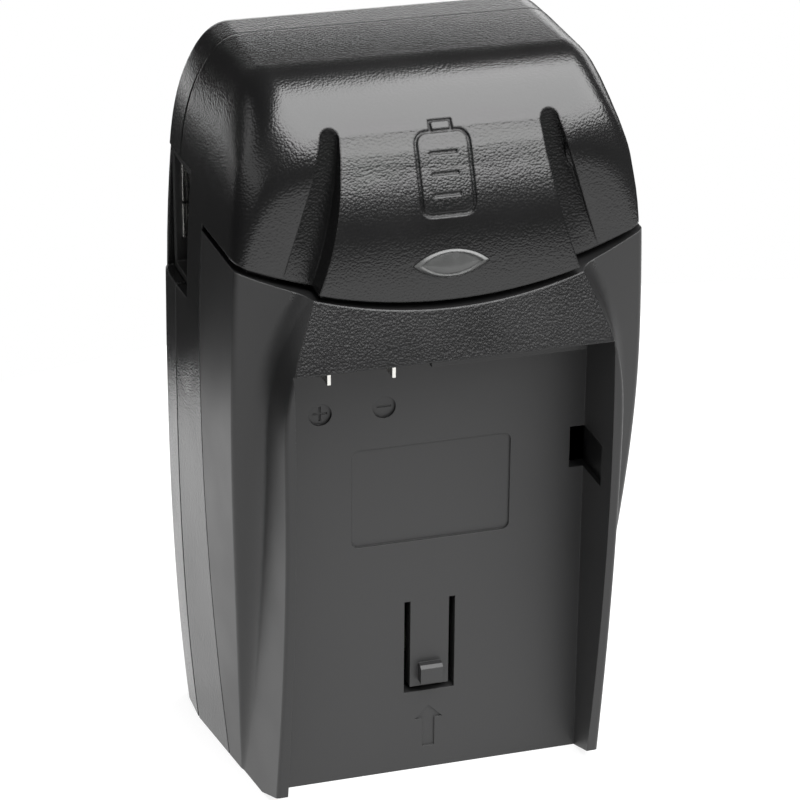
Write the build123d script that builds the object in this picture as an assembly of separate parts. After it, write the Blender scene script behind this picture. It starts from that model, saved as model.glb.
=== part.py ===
from build123d import *
from math import cos, radians, sin
import os

# Compact battery charger that stands upright: a rear shell, a front shell with a rounded dome, a battery
# plate with an open pocket, and a mains plug that folds into the back. Millimetres, +Z up, +Y to the back.
# The origin is under the middle of the case, on the surface that it stands on.

# Battery pocket, which sets the width and the height of the seam above it
battery_width = 40.0
battery_clearance = 0.2
pocket_length = 61.9
pocket_wall = 1.4
floor_wall = 2.0
flank_width = 5.85
brow_height = 5.95
dome_height = 27.15

# Outline of the case, seen from the front, where the two shells meet
belly_height = 56.0
foot_taper = 1.85
waist_taper = 0.24
shoulder_taper = 1.05
shoulder_drop = 15.0
corner_taper = 3.45
corner_drop = 4.9
crown_taper = 8.85
foot_lean = 0.1
shoulder_sink = 0.25
corner_slide = 0.87
corner_sink = 0.5
crown_slide = 0.3

# Depths, from the back of the case to the front of the pocket walls
floor_to_back = 28.3
wall_reach = 10.0
rear_shell_depth = 7.4
side_band_depth = 10.4
side_draft = 0.052
foot_draft = 0.15
crown_draft = 0.01
rear_edge_radius = 2.2
rear_roll_bands = 3

# Shell walls and the joints between the shells
shell_wall = 1.8
seam_gap = 0.25
tongue_wall = 1.0
tongue_reach = 2.0
tongue_clearance = 0.1

# Dome, rolled widely at the top and tightly at the sides, and its raised visor
shoulder_reach = 3.4
dome_top_radius = 12.0
dome_corner_radius = 3.4
dome_shoulder_radius = 2.6
dome_side_radius = 1.2
dome_roll_bands = 9
shoulder_roll_sink = 0.1
corner_roll_sink = 0.62
visor_foot_reach = 6.9
visor_middle_reach = 5.6
visor_middle_drop = 15.0
visor_merge_angle = 33.0
visor_merge_sink = 0.3

# Grooves beside the visor
groove_top_drop = 6.5
groove_middle_drop = 15.0
groove_foot_drop = 0.85
groove_fade_rise = 4.5
groove_top_depth = 2.6
groove_inner_top = 12.5
groove_inner_middle = 13.65
groove_inner_foot = 18.2
groove_outer_top = 14.9
groove_outer_middle = 17.4
groove_outer_foot = 21.6
groove_depth = 1.4
groove_overlap = 0.8

# Curved seam between the dome and the battery plate
seam_radius = 60.0
seam_width = 0.9

# Brow and side walls of the pocket
lip_reach = 9.52
brow_top_reach = 6.85
brow_top_rise = 1.35
wall_foot_reach = 4.4
wall_foot_rise = 0.35
wall_low_reach = 8.9
wall_low_height = 28.0
wall_high_height = 48.0

# Flanks beside the pocket, and the frame of brow and walls that stands on them
flank_reach = 2.6
flank_knee_reach = 2.3
flank_knee_height = 52.0
flank_foot_depth = 7.0
flank_foot_lean = 0.2
flank_slope = 0.2
flank_edge_radius = 0.8
flank_valley_radius = 2.5
frame_edge_radius = 0.5
frame_zone_reach = 6.0
frame_foot_margin = 0.7
frame_foot_flare = 0.145
frame_wall_margin = 1.3
frame_wall_flare = 0.16
frame_lip_margin = -0.1
frame_lip_flare = 0.27
frame_brow_half_width = 10.6
frame_brow_flare = 0.69
frame_brow_rise = 8.15
frame_brow_lean = 1.4

# Latch tongue, label recess and polarity marks on the pocket floor
latch_width = 6.76
latch_bottom = 11.5
latch_top = 24.7
latch_slot = 0.8
catch_width = 3.0
catch_bottom = 13.2
catch_height = 2.5
catch_reach = 1.3
catch_bevel = 0.4
label_width = 20.8
label_bottom = 33.3
label_height = 13.5
label_depth = 0.3
label_corner_radius = 1.0
mark_diameter = 2.9
mark_drop = 9.6
mark_depth = 0.35

# Battery contacts and the stop block beside them
positive_x = -14.4
negative_x = -6.2
contact_thickness = 0.45
contact_reach = 4.0
contact_drop = 3.9
contact_slot_margin = 0.5
contact_stem = 1.6
stop_left = -1.4
stop_right = 18.6
stop_reach = 4.0
stop_drop = 3.1

# Hook windows in the corners of the pocket
window_width = 1.9
right_window_bottom = 40.8
left_window_bottom = 11.7
window_height = 5.7
window_reach = 6.3

# Status lens and the light behind it
lens_rise = 5.55
lens_half_length = 4.7
lens_half_width = 1.7
lens_proud = 0.1
lens_flange = 0.7
lens_clearance = 0.05
led_radius = 1.5
led_rim = 0.35
led_length = 4.6
led_lead = 0.5
led_pitch = 2.54

# Side input socket
socket_length = 11.4
socket_top_drop = 15.3
socket_height = 16.8
socket_back_margin = 0.9
socket_clearance = 0.2
socket_wall = 0.9
socket_depth = 10.0
socket_recess = 1.35
socket_plate = 0.4
socket_plate_low = 4.4
socket_plate_split = 9.1
socket_plate_high = 15.3
socket_plate_gap = 0.4
socket_tail_width = 2.4

# Folding mains plug
pivot_height = 60.0
pivot_depth = 4.3
hub_radius = 4.0
hub_length = 18.4
pin_radius = 1.9
pin_length = 2.8
pin_clearance = 0.05
prong_spacing = 12.7
prong_width = 6.35
prong_thickness = 1.5
prong_reach = 21.0
prong_tip_room = 1.6
prong_tail = 5.3
prong_tail_width = 3.0
prong_hole_radius = 1.6
prong_hole_reach = 16.2
plug_clearance = 0.4
recess_floor_wall = 1.3
retainer_thickness = 1.2
retainer_ear = 4.2
retainer_screw_x = 9.0
spring_width = 1.8
spring_span = 9.0
spring_gauge = 0.3

# Circuit board
board_thickness = 1.6
board_half_width = 15.3
board_bottom = 6.0
board_top_drop = 13.0
board_setback = 11.4
hole_clearance = 0.3
part_lead = 0.6
part_standoff = 0.4
can_edge_radius = 0.6
transformer_place = (5.0, 28.0)
core_width = 16.0
core_height = 14.0
core_depth = 5.0
core_leg = 4.0
core_side = 2.0
core_yoke = 2.5
coil_half_width = 5.9
coil_half_depth = 5.4
coil_half_height = 3.8
coil_edge_radius = 1.2
bobbin_wall = 0.6
bobbin_foot = 2.0
mains_capacitor_place = (-11.0, 24.0)
mains_capacitor_radius = 5.0
mains_capacitor_length = 16.0
output_capacitor_place = (11.0, 46.5)
output_capacitor_radius = 4.0
output_capacitor_length = 11.0
choke_place = (-11.0, 41.0)
choke_radius = 4.0
choke_length = 8.0
choke_flange = 1.2
choke_groove = 0.9
rectifier_place = (-10.0, 51.0)
rectifier_length = 6.4
rectifier_height = 5.0
rectifier_thickness = 2.6
chip_place = (0.5, 45.0)
chip_length = 5.0
chip_width = 4.0
chip_thickness = 1.7
chip_standoff = 0.2
chip_leads = 8
chip_pitch = 1.27
chip_lead_reach = 1.0
fuse_place = (0.0, 12.0)
fuse_length = 7.0
fuse_radius = 1.7
disc_place = (8.0, 58.5)
disc_radius = 4.0
disc_thickness = 3.0

# Screws
case_screw_x = 18.8
case_screw_low = 8.5
case_screw_drop = 10.5
screw_radius = 1.25
screw_head_radius = 2.4
screw_head_height = 1.7
screw_head_depth = 3.4
screw_length = 8.0
screw_clearance = 0.05
boss_radius = 3.1
board_screw_x = 13.0
board_screw_low = 10.5
board_screw_drop = 4.0
small_screw_radius = 0.9
small_head_radius = 1.8
small_head_height = 1.2
small_screw_length = 5.0
small_boss_radius = 2.3

# Places that follow from the sizes above
seam_height = pocket_length + brow_height
case_height = seam_height + dome_height
pocket_half = battery_width / 2 + battery_clearance
belly_half = pocket_half + pocket_wall + flank_width
back_y = (floor_to_back + wall_reach) / 2
floor_y = back_y - floor_to_back
rear_seam_y = back_y - rear_shell_depth
side_seam_y = rear_seam_y - side_band_depth
dome_front_y = floor_y - shoulder_reach
dome_edge_height = seam_height + seam_width
tongue_inset = shell_wall + tongue_clearance
pivot_y = back_y - pivot_depth
board_back_y = back_y - board_setback
board_front_y = board_back_y - board_thickness
socket_back_y = back_y - socket_back_margin
socket_front_y = socket_back_y - socket_length
socket_top = case_height - socket_top_drop
socket_bottom = socket_top - socket_height
socket_inner_back = back_y - shell_wall
socket_cut_x = belly_half - tongue_inset - 3 * tongue_wall
socket_face_x = belly_half - socket_recess
socket_inner_x = socket_face_x - socket_depth
socket_tail_x = socket_inner_x - socket_plate - 2 * hole_clearance
socket_plate_spans = (
    (socket_bottom + socket_plate_low, socket_bottom + socket_plate_split - socket_plate_gap / 2),
    (socket_bottom + socket_plate_split + socket_plate_gap / 2, socket_bottom + socket_plate_high),
)
contact_bottom = pocket_length - contact_drop
mark_height = pocket_length - mark_drop
lens_height = seam_height + lens_rise
groove_foot_height = seam_height - groove_foot_drop
groove_middle_height = case_height - groove_middle_drop
groove_top_height = case_height - groove_top_drop
visor_middle_height = case_height - visor_middle_drop
frame_brow_height = seam_height + frame_brow_rise
board_top = case_height - board_top_drop
board_screw_high = board_top - board_screw_drop
case_screw_high = case_height - case_screw_drop
prong_places = (-prong_spacing / 2, prong_spacing / 2)
well_half_width = hub_length / 2 + plug_clearance
well_bottom = pivot_height - prong_reach - prong_tip_room
well_top = pivot_height + hub_radius + plug_clearance
hub_bottom = pivot_height - hub_radius - plug_clearance
recess_floor_y = pivot_y - prong_width / 2 - plug_clearance
retainer_back_y = pivot_y - hub_radius - plug_clearance
transformer_y = board_front_y - bobbin_foot - coil_half_depth
far = 2 * case_height


# Drawing helpers
def front_plane(y):
    return Plane(origin=(0, y, 0), x_dir=(1, 0, 0), z_dir=(0, -1, 0))


def side_plane(x):
    return Plane(origin=(x, 0, 0), x_dir=(0, 1, 0), z_dir=(1, 0, 0))


def block(x, y, z):
    size = Box(x[1] - x[0], y[1] - y[0], z[1] - z[0])
    return Pos((x[0] + x[1]) / 2, (y[0] + y[1]) / 2, (z[0] + z[1]) / 2) * size


def rod_x(radius, x, y, z):
    return Pos((x[0] + x[1]) / 2, y, z) * Rot(0, 90, 0) * Cylinder(radius, x[1] - x[0])


def rod_y(radius, x, y, z):
    return Pos(x, (y[0] + y[1]) / 2, z) * Rot(90, 0, 0) * Cylinder(radius, y[1] - y[0])


def rod_z(radius, x, y, z):
    return Pos(x, y, (z[0] + z[1]) / 2) * Cylinder(radius, z[1] - z[0])


def face_of(*edges):
    return make_face([edge for piece in edges for edge in piece.edges()])


def prism_x(face, x):
    return extrude(side_plane(x[0]) * face, x[1] - x[0], dir=(1, 0, 0))


def prism_y(face, y):
    return extrude(front_plane(y[0]) * face, y[1] - y[0], dir=(0, 1, 0))


def both_sides(solid):
    return solid + mirror(solid, about=Plane.YZ)


# Case form, shared by the two shells and the battery plate
def rolled_in(radius, depth):
    reach = max(radius - depth, 0)
    return radius - (radius ** 2 - reach ** 2) ** 0.5


def outline(y, inset, rolls=(0, 0, 0, 0)):
    ahead = max(rear_seam_y - y, 0)
    narrow = side_draft * ahead + inset
    side_roll, shoulder_roll, corner_roll, top_roll = rolls
    foot = (belly_half - foot_taper - foot_draft * ahead - inset - side_roll, inset)
    belly = (belly_half - narrow - side_roll, belly_height)
    waist = (belly_half - waist_taper - narrow - side_roll, seam_height)
    shoulder = (
        belly_half - shoulder_taper - narrow - shoulder_roll,
        case_height - shoulder_drop - shoulder_sink * inset - shoulder_roll_sink * top_roll,
    )
    corner = (
        belly_half - corner_taper - corner_slide * narrow - corner_roll,
        case_height - corner_drop - corner_sink * narrow - corner_roll_sink * top_roll,
    )
    crown = (
        belly_half - crown_taper - crown_slide * (inset + top_roll),
        case_height - crown_draft * ahead - inset - top_roll,
    )
    edges = []
    for side in (1, -1):
        points = [(side * x, z) for x, z in (foot, belly, waist, shoulder, corner, crown)]
        edges.append(Spline(*points, tangents=[(side * foot_lean, 1), (-side, 0)]))
    bottom = Line(edges[1] @ 0, edges[0] @ 0)
    top = Line(edges[0] @ 1, edges[1] @ 1)
    return front_plane(y) * make_face([bottom, edges[0], top, edges[1]])


def straight_form(y, inset):
    return loft([outline(y[0], inset), outline(y[1], inset)], ruled=True)


def lining(y, inset, wall):
    return straight_form(y, inset) - straight_form(y, inset + wall)


def dome_form(inset):
    front = dome_front_y + inset
    radii = (dome_side_radius, dome_shoulder_radius, dome_corner_radius, dome_top_radius)
    sections = [outline(rear_seam_y, inset)]
    for band in range(dome_roll_bands + 1):
        depth = (dome_top_radius - inset) * (1 - sin(radians(90 * band / dome_roll_bands)))
        rolls = [rolled_in(max(radius - inset, 0), depth) for radius in radii]
        sections.append(outline(front + depth, inset, rolls))
    return loft(sections, ruled=True)


def rear_form(inset):
    radius = rear_edge_radius - inset
    roll = []
    for band in range(rear_roll_bands + 1):
        angle = radians(90 * band / rear_roll_bands)
        depth = radius * (1 - sin(angle))
        roll.append(outline(back_y - inset - depth, inset + radius * (1 - cos(angle))))
    return straight_form((rear_seam_y, back_y - rear_edge_radius), inset) + loft(roll)


def above_seam(height):
    drum = rod_y(seam_radius, 0, (-far, far), height + seam_radius)
    roof = block((-far, far), (-far, far), (height + seam_radius, far))
    return drum + roof


# Visor and the grooves beside it
def groove_edge(side, top, middle, foot, margin):
    points = [(foot, groove_foot_height), (middle, groove_middle_height), (top, groove_top_height)]
    return Spline(*[(side * (x + margin), z) for x, z in points])


def behind_visor(inset):
    angle = radians(visor_merge_angle)
    radius = dome_top_radius - visor_merge_sink - inset
    end_y = dome_front_y + dome_top_radius - radius * cos(angle)
    end_z = case_height - crown_draft * (rear_seam_y - end_y) - dome_top_radius + radius * sin(angle)
    profile = Spline(
        (floor_y - visor_foot_reach + inset, groove_foot_height),
        (floor_y - visor_middle_reach + inset, visor_middle_height),
        (end_y, end_z),
        tangents=[(0, 1), (sin(angle), cos(angle))],
    )
    ends = Polyline(profile @ 1, (side_seam_y, end_z), (side_seam_y, groove_foot_height), profile @ 0)
    return prism_x(face_of(profile, ends), (-far, far))


def visor_form(inset):
    margin = groove_overlap - inset
    edges = []
    for side in (1, -1):
        edges.append(groove_edge(side, groove_inner_top, groove_inner_middle, groove_inner_foot, margin))
    roof = case_height
    top = Polyline(edges[0] @ 1, ((edges[0] @ 1).X, roof), ((edges[1] @ 1).X, roof), edges[1] @ 1)
    bottom = Line(edges[1] @ 0, edges[0] @ 0)
    face = make_face([bottom, edges[0], *top.edges(), edges[1]])
    return prism_y(face, (-far, side_seam_y)) & behind_visor(inset)


def groove_face(side):
    inner = groove_edge(side, groove_inner_top, groove_inner_middle, groove_inner_foot, 0)
    outer = groove_edge(side, groove_outer_top, groove_outer_middle, groove_outer_foot, 0)
    width = groove_outer_top - groove_inner_top
    crest = (side * (groove_inner_top + width / 2), groove_top_height + width / 2)
    top = ThreePointArc(inner @ 1, crest, outer @ 1)
    return make_face([inner, top, outer, Line(outer @ 0, inner @ 0)])


def groove_layer(side, depth):
    return prism_y(groove_face(side), (-far, side_seam_y)) - dome_form(depth)


def groove_cut(side):
    crest = groove_top_height + groove_outer_top - groove_inner_top
    bed = Polyline(
        (-far, groove_foot_height),
        (dome_front_y, groove_foot_height),
        (dome_front_y, seam_height + groove_fade_rise),
        (dome_front_y + groove_top_depth, crest),
        (-far, crest),
        close=True,
    )
    return prism_y(groove_face(side), (-far, side_seam_y)) & prism_x(face_of(bed), (-far, far))


def outer_hull(inset):
    return dome_form(inset) + visor_form(inset)


# Pointed oval of the status lens
def lens_prism(grow):
    length = lens_half_length + grow
    width = lens_half_width + grow
    upper = ThreePointArc((-length, lens_height), (0, lens_height + width), (length, lens_height))
    lower = ThreePointArc((length, lens_height), (0, lens_height - width), (-length, lens_height))
    return prism_y(make_face([upper, lower]), (-far, far))


# Battery plate: flanks, frame of brow and walls, pocket
def flank_form(inset):
    profiles = []
    for x in (pocket_half / 2, 2 * belly_half):
        shift = flank_slope * (x - belly_half) + inset
        edge = Spline(
            (floor_y + flank_foot_depth + shift, -1),
            (floor_y - flank_knee_reach + shift, flank_knee_height),
            (floor_y - flank_reach + shift, case_height),
            tangents=[(-flank_foot_lean, 1), (0, 1)],
        )
        back = floor_y + far
        ends = Polyline(edge @ 1, (back, case_height), (back, -1), edge @ 0)
        profiles.append(side_plane(x) * face_of(edge, ends))
    half = loft(profiles, ruled=True)
    return both_sides(half)


def frame_outline(y, inset):
    ahead = y - floor_y + wall_reach
    points = (
        (pocket_half + frame_foot_margin + frame_foot_flare * ahead - inset, -1),
        (pocket_half + frame_wall_margin + frame_wall_flare * ahead - inset, wall_high_height),
        (pocket_half + frame_lip_margin + frame_lip_flare * ahead - inset, pocket_length),
        (frame_brow_half_width + frame_brow_flare * ahead - inset, frame_brow_height),
    )
    edges = []
    for side in (1, -1):
        foot, wall, lip, brow = [(side * x, z) for x, z in points]
        upright = Line(foot, wall)
        edges.append([upright, Spline(wall, lip, brow, tangents=[upright % 1, (-side, frame_brow_lean)])])
    bottom = Line(edges[1][0] @ 0, edges[0][0] @ 0)
    top = Line(edges[0][1] @ 1, edges[1][1] @ 1)
    return front_plane(y) * make_face([bottom, *edges[0], top, *edges[1]])


def frame_form(inset):
    front = floor_y - wall_reach
    body = loft([frame_outline(side_seam_y, inset), frame_outline(front - 1, inset)], ruled=True)
    slope = (lip_reach - brow_top_reach) / (brow_height + brow_top_rise)
    brow = (floor_y - lip_reach + slope * (frame_brow_height - pocket_length) + inset, frame_brow_height)
    lip = (floor_y - lip_reach + inset, pocket_length)
    wall = Spline(
        (floor_y - wall_foot_reach + inset, -1),
        (floor_y - wall_low_reach + inset, wall_low_height),
        (front + inset, wall_high_height),
        lip,
    )
    ends = Polyline(lip, brow, (far, frame_brow_height), (far, -1), wall @ 0)
    return body & prism_x(face_of(wall, ends), (-far, far))


def plate_form(inset):
    sides = straight_form((side_seam_y - seam_gap, floor_y - far / 8), inset)
    return (flank_form(inset) + frame_form(inset)) & sides


# Places of the fasteners
def case_screw_places():
    return [(x, z) for x in (-case_screw_x, case_screw_x) for z in (case_screw_low, case_screw_high)]


def board_screw_places():
    low = [(x, board_screw_low) for x in (-board_screw_x, board_screw_x)]
    return low + [(board_screw_x, board_screw_high)]


def retainer_screw_places():
    return [(x, well_top + retainer_ear) for x in (-retainer_screw_x, retainer_screw_x)]


# Cuts that two pieces share
def ahead_of(y):
    return block((-far, far), (-far, y), (-far, far))


def behind_of(y):
    return block((-far, far), (y, far), (-far, far))


def socket_window():
    return block((-far, -socket_cut_x), (socket_front_y, socket_back_y), (socket_bottom, socket_top))


def tail_slot(x):
    half = prong_thickness / 2 + plug_clearance
    sweep = (prong_tail ** 2 + prong_tail_width ** 2 / 4) ** 0.5 + plug_clearance
    y = (pivot_y - sweep, pivot_y + prong_tail_width / 2 + plug_clearance)
    return block((x - half, x + half), y, (pivot_height - prong_tail_width, pivot_height + sweep))


# Front shell: dome, visor, grooves and side bands, with a tongue that enters the rear shell
def make_front_shell():
    cavity = outer_hull(shell_wall)
    for side in (1, -1):
        cavity -= groove_layer(side, groove_depth + shell_wall)
    shell = outer_hull(0) - cavity
    for side in (1, -1):
        shell -= groove_cut(side)
    root = (rear_seam_y - tongue_reach, rear_seam_y)
    shell += lining(root, shell_wall - tongue_clearance, tongue_wall + 2 * tongue_clearance)
    shell += lining((root[0], rear_seam_y + tongue_reach), tongue_inset, tongue_wall)
    boss_start = side_seam_y + tongue_reach + plug_clearance
    for x, z in case_screw_places():
        outer = (1 if x > 0 else -1) * belly_half
        start = boss_start if z < pocket_length else dome_front_y
        boss = rod_y(boss_radius, x, (start, rear_seam_y), z)
        rib = (z - boss_radius / 2, z + boss_radius / 2)
        boss += block(sorted((x, outer)), (boss_start, rear_seam_y), rib)
        shell += boss & dome_form(shell_wall / 2)
        shell -= rod_y(screw_radius + screw_clearance, x, (rear_seam_y - screw_length, far), z)
    plate_zone = ahead_of(side_seam_y) - above_seam(dome_edge_height)
    return shell - plate_zone - socket_window() - lens_prism(lens_clearance)


# Rear shell: back wall with the plug recess, bearings, pillars for the board and tubes for the case screws
def make_rear_shell():
    shell = rear_form(0) - rear_form(shell_wall)
    shell -= ahead_of(rear_seam_y + seam_gap)
    inner_back = back_y - shell_wall / 2
    for x, z in case_screw_places():
        shell += rod_y(boss_radius, x, (rear_seam_y, inner_back), z)
    for x, z in board_screw_places():
        shell += rod_y(small_boss_radius, x, (board_back_y, inner_back), z)
    for x, z in retainer_screw_places():
        shell += rod_y(small_boss_radius, x, (retainer_back_y, inner_back), z)
    trough = well_half_width + recess_floor_wall
    bearing = well_half_width + pin_length
    trough_y = (recess_floor_y - recess_floor_wall, inner_back)
    shell += block((-trough, trough), trough_y, (well_bottom - recess_floor_wall, hub_bottom))
    roof = well_top + recess_floor_wall
    shell += block((-bearing, bearing), (retainer_back_y, inner_back), (hub_bottom, roof))
    shell -= block((-well_half_width, well_half_width), (recess_floor_y, far), (well_bottom, well_top))
    shell -= block((-well_half_width, well_half_width), (-far, far), (hub_bottom, well_top))
    bore = pin_radius + pin_clearance
    shell -= rod_x(bore, (-bearing, bearing), pivot_y, pivot_height)
    shell -= block((-bearing, bearing), (-far, pivot_y), (pivot_height - bore, pivot_height + bore))
    for x in prong_places:
        shell -= tail_slot(x)
    for x, z in case_screw_places():
        shell -= rod_y(screw_radius + hole_clearance, x, (-far, far), z)
        shell -= rod_y(screw_head_radius + hole_clearance, x, (back_y - screw_head_depth, far), z)
    for x, z in board_screw_places() + retainer_screw_places():
        shell -= rod_y(small_screw_radius + screw_clearance, x, (-far, back_y - shell_wall), z)
    return shell - socket_window()


# Battery plate: one moulding of flanks, brow, pocket, latch tongue and stop block
def make_plate_cavity():
    cavity = plate_form(shell_wall) - above_seam(seam_height - shell_wall)
    pocket_x = pocket_half + pocket_wall
    ceiling = pocket_length + shell_wall
    return cavity - block((-pocket_x, pocket_x), (-far, floor_y + floor_wall), (-far, ceiling))


def make_skirt():
    inner = outer_hull(tongue_inset + tongue_wall)
    near_seam = above_seam(seam_height - tongue_reach) + behind_of(side_seam_y - tongue_reach)
    root = (outer_hull(shell_wall - tongue_clearance) - inner) & near_seam & plate_form(0)
    root -= above_seam(seam_height)
    tongue = (outer_hull(tongue_inset) - inner) & near_seam & ahead_of(side_seam_y + tongue_reach)
    tongue -= above_seam(dome_edge_height + tongue_reach)
    tongue &= plate_form(0) + behind_of(side_seam_y - seam_gap) + above_seam(seam_height)
    groove_back = dome_front_y + groove_depth + shell_wall + tongue_clearance
    for side in (1, -1):
        tongue -= prism_y(groove_face(side), (-far, groove_back))
    return root + tongue


def wall_foot_cut():
    front = (-far, wall_foot_rise * (far + floor_y))
    slant = Polyline((floor_y, 0), front, (-far, -1), (floor_y, -1), close=True)
    return prism_x(face_of(slant), (-far, far))


def latch_cut():
    half = latch_width / 2
    through = (floor_y - catch_reach, floor_y + floor_wall + 1)
    slot = block((-half, half), through, (latch_bottom, latch_top))
    tongue = block((latch_slot - half, half - latch_slot), through, (latch_bottom + latch_slot, case_height))
    return slot - tongue


def catch():
    top = catch_bottom + catch_height
    crest = floor_y - catch_reach
    profile = Polyline(
        (floor_y, catch_bottom),
        (crest, catch_bottom),
        (crest, top - catch_bevel),
        (crest + catch_bevel, top),
        (floor_y, top),
        close=True,
    )
    return prism_x(face_of(profile), (-catch_width / 2, catch_width / 2))


def label_recess():
    panel = RectangleRounded(label_width, label_height, label_corner_radius)
    panel = Pos(0, label_bottom + label_height / 2) * panel
    return prism_y(panel, (floor_y - 1, floor_y + label_depth))


def corner_window(side, bottom):
    x = sorted((side * (pocket_half - window_width), side * (pocket_half + pocket_wall / 2)))
    return block(x, (floor_y - window_reach, floor_y + floor_wall + 1), (bottom, bottom + window_height))


def side_edges(solid, y, shortest):
    found = []
    for edge in solid.edges():
        place = edge.center()
        raised = place.Z > pocket_wall and abs(place.X) > pocket_half - pocket_wall
        if raised and y[0] < place.Y < y[1] and edge.length > shortest:
            found.append(edge)
    return found


def plate_outside():
    plate = plate_form(0) - above_seam(seam_height)
    front = floor_y - 2 * wall_reach
    middle = floor_y - frame_zone_reach
    back = side_seam_y - seam_gap - 1
    plate = fillet(side_edges(plate, (front, middle), 2 * pocket_wall), frame_edge_radius)
    flanks = side_edges(plate, (middle, back), pocket_length)
    plate = fillet(flanks, flank_edge_radius)
    inside = pocket_half + frame_wall_margin + 2 * pocket_wall
    valleys = [e for e in side_edges(plate, (middle, back), pocket_half) if abs(e.center().X) < inside]
    return fillet(valleys, flank_valley_radius)


def make_battery_plate():
    plate = plate_outside()
    plate -= make_plate_cavity()
    plate += make_skirt()
    plate -= block((-pocket_half, pocket_half), (-far, floor_y), (-far, pocket_length))
    plate -= wall_foot_cut()
    plate -= latch_cut()
    plate += catch()
    plate -= label_recess()
    stop_z = (pocket_length - stop_drop, pocket_length)
    plate += block((stop_left, stop_right), (floor_y - stop_reach, floor_y), stop_z)
    slot_z = (contact_bottom - contact_slot_margin, pocket_length)
    for x in (positive_x, negative_x):
        plate -= rod_y(mark_diameter / 2, x, (floor_y - 1, floor_y + mark_depth), mark_height)
        slot_x = (x - contact_slot_margin, x + contact_slot_margin)
        plate -= block(slot_x, (floor_y - 1, floor_y + floor_wall + 1), slot_z)
    plate -= corner_window(1, right_window_bottom)
    plate -= corner_window(-1, left_window_bottom)
    return plate


# Status lens with the flange that holds it behind the visor, and the light behind it
def make_status_lens():
    lens = lens_prism(0) & (behind_visor(-lens_proud) - behind_visor(shell_wall))
    flange = lens_prism(lens_flange) & (behind_visor(shell_wall) - behind_visor(shell_wall + lens_flange))
    return lens + flange


def make_status_led():
    front = floor_y - visor_middle_reach + shell_wall + 2 * lens_flange
    neck = front + led_length - led_radius
    body = rod_y(led_radius, 0, (front + led_radius, neck + led_radius), lens_height)
    body += Pos(0, front + led_radius, lens_height) * Sphere(led_radius)
    body += rod_y(led_radius + led_rim, 0, (neck, neck + led_radius), lens_height)
    half = led_lead / 2
    for x in (-led_pitch / 2, led_pitch / 2):
        body += block((x - half, x + half), (neck, board_front_y), (lens_height - half, lens_height + half))
    return body


# Battery contacts: flat blades that pass the pocket floor and stand on the board
def make_battery_contact(x):
    half = contact_thickness / 2
    blade_y = (floor_y - contact_reach, floor_y + floor_wall)
    blade = block((x - half, x + half), blade_y, (contact_bottom, pocket_length))
    middle = pocket_length - contact_drop / 2
    stem = (middle - contact_stem / 2, middle + contact_stem / 2)
    return blade + block((x - half, x + half), (floor_y, board_front_y), stem)


# Side input socket: a box open to the side, with two contact plates one above the other
def make_socket_body():
    y = (socket_front_y + socket_clearance, socket_inner_back)
    z = (socket_bottom + socket_clearance, socket_top - socket_clearance)
    body = block((-socket_face_x, -socket_inner_x), y, z)
    inner_y = (y[0] + socket_wall, y[1] - socket_wall)
    inner_z = (z[0] + socket_wall, z[1] - socket_wall)
    body -= block((-far, -socket_inner_x - socket_wall), inner_y, inner_z)
    for plate_z in socket_plate_spans:
        body -= block((-far, far), (inner_y[1] - socket_plate, inner_y[1]), plate_z)
    return body


def make_socket_contact(plate_z):
    back = socket_inner_back - socket_wall
    plate = block((-socket_face_x + socket_wall, -socket_tail_x), (back - socket_plate, back), plate_z)
    middle = (plate_z[0] + plate_z[1]) / 2
    tail_z = (middle - socket_tail_width / 2, middle + socket_tail_width / 2)
    return plate + block((-socket_tail_x - socket_plate, -socket_tail_x), (board_back_y, back), tail_z)


# Folding plug: carrier with its pins, two blades, retainer and spring contacts
def make_prong(x):
    half = prong_width / 2
    tip = pivot_height - prong_reach
    bevel = prong_thickness
    tail = prong_tail_width / 2
    outline_points = [
        (pivot_y - half, pivot_height + half / 2),
        (pivot_y - half, tip + bevel),
        (pivot_y - half + bevel, tip),
        (pivot_y + half - bevel, tip),
        (pivot_y + half, tip + bevel),
        (pivot_y + half, pivot_height + half / 2),
        (pivot_y + tail, pivot_height + half / 2),
        (pivot_y + tail, pivot_height + prong_tail),
        (pivot_y - tail, pivot_height + prong_tail),
        (pivot_y - tail, pivot_height + half / 2),
    ]
    thick = (x - prong_thickness / 2, x + prong_thickness / 2)
    blade = prism_x(face_of(Polyline(*outline_points, close=True)), thick)
    return blade - rod_x(prong_hole_radius, thick, pivot_y, pivot_height - prong_hole_reach)


def make_prong_carrier():
    half = hub_length / 2
    carrier = rod_x(hub_radius, (-half, half), pivot_y, pivot_height)
    carrier += rod_x(pin_radius, (-half - pin_length, half + pin_length), pivot_y, pivot_height)
    for x in prong_places:
        carrier -= make_prong(x)
    return carrier


def make_plug_retainer():
    bearing = well_half_width + pin_length
    y = (retainer_back_y - retainer_thickness, retainer_back_y)
    top = well_top + retainer_ear + small_boss_radius
    plate = block((-bearing, bearing), y, (hub_bottom + pin_clearance, top))
    nose_z = (pivot_height - pin_radius, pivot_height + pin_radius)
    nose = block((well_half_width, bearing), (y[0], pivot_y), nose_z)
    plate += both_sides(nose)
    plate -= rod_x(pin_radius + pin_clearance, (-far, far), pivot_y, pivot_height)
    for x in prong_places:
        plate -= tail_slot(x)
    for x, z in retainer_screw_places():
        plate -= rod_y(small_screw_radius + hole_clearance, x, (-far, far), z)
    return plate


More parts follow.
